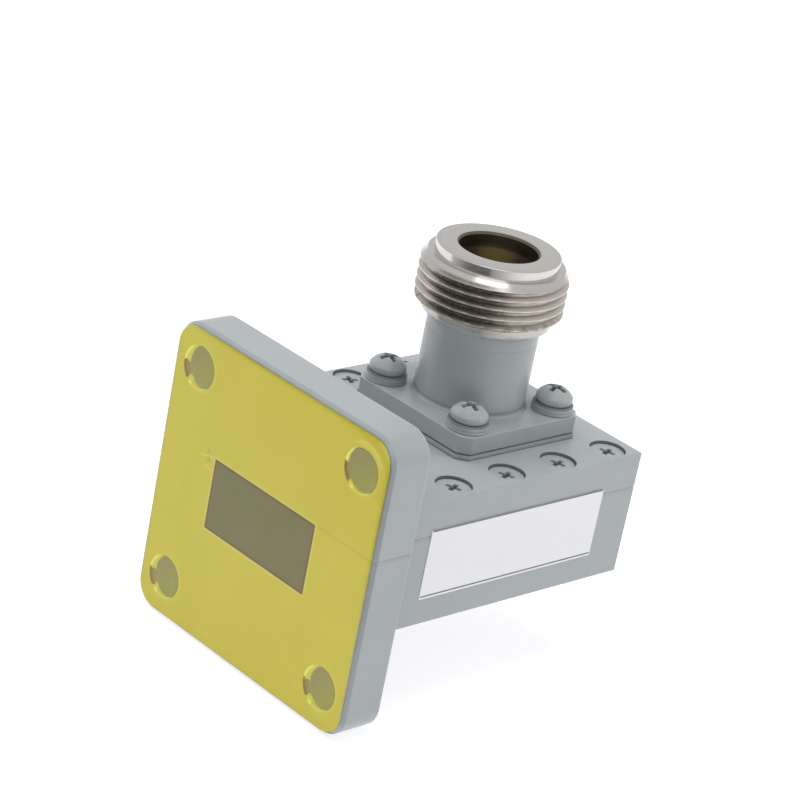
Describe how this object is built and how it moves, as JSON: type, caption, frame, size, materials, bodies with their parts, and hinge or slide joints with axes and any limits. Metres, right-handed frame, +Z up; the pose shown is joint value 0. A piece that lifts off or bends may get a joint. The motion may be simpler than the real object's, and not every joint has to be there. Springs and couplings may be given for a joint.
{
  "type": "waveguide adapter",
  "caption": "Right-angle adapter from a threaded coaxial socket to a rectangular waveguide with a square bolted flange, its mating face covered by a peel-off film.",
  "frame": {"origin": "centre of the guide's mouth on the flange's mating face", "axes": "-Y out of the mating face along the guide, +Y into the body, +Z up along the coaxial port, +X to the right seen from the mating face"},
  "size_m": [0.0334, 0.0401, 0.044],
  "materials": {
    "grey_paint": "satin grey sprayed paint over aluminium, slight orange peel",
    "screw_paint": "the same grey paint over steel screws and washers",
    "nickel": "turned and nickel-plated brass, barrel and flange sprayed grey",
    "gold": "gold-plated, polished",
    "brass": "turned, bare",
    "ptfe": "turned white PTFE, waxy",
    "yellow_film": "thin yellow see-through adhesive film",
    "white_label": "white satin sticker, bare"
  },
  "bodies": {
    "root": {"guide_base": "grey_paint", "guide_cover": "grey_paint", "spacer_plate": "grey_paint", "connector_shell": "nickel", "insulator": "ptfe", "centre_contact": "gold", "probe_cap": "brass", "protective_film": "yellow_film", "label": "white_label", "connector_screw_1": "screw_paint", "spring_washer_1": "screw_paint", "flat_washer_1": "screw_paint", "connector_screw_2": "screw_paint", "spring_washer_2": "screw_paint", "flat_washer_2": "screw_paint", "connector_screw_3": "screw_paint", "spring_washer_3": "screw_paint", "flat_washer_3": "screw_paint", "connector_screw_4": "screw_paint", "spring_washer_4": "screw_paint", "flat_washer_4": "screw_paint", "cover_screw_1": "screw_paint", "cover_screw_2": "screw_paint", "cover_screw_3": "screw_paint", "cover_screw_4": "screw_paint", "cover_screw_5": "screw_paint", "cover_screw_6": "screw_paint", "cover_screw_7": "screw_paint", "cover_screw_8": "screw_paint"}
  },
  "joints": []
}
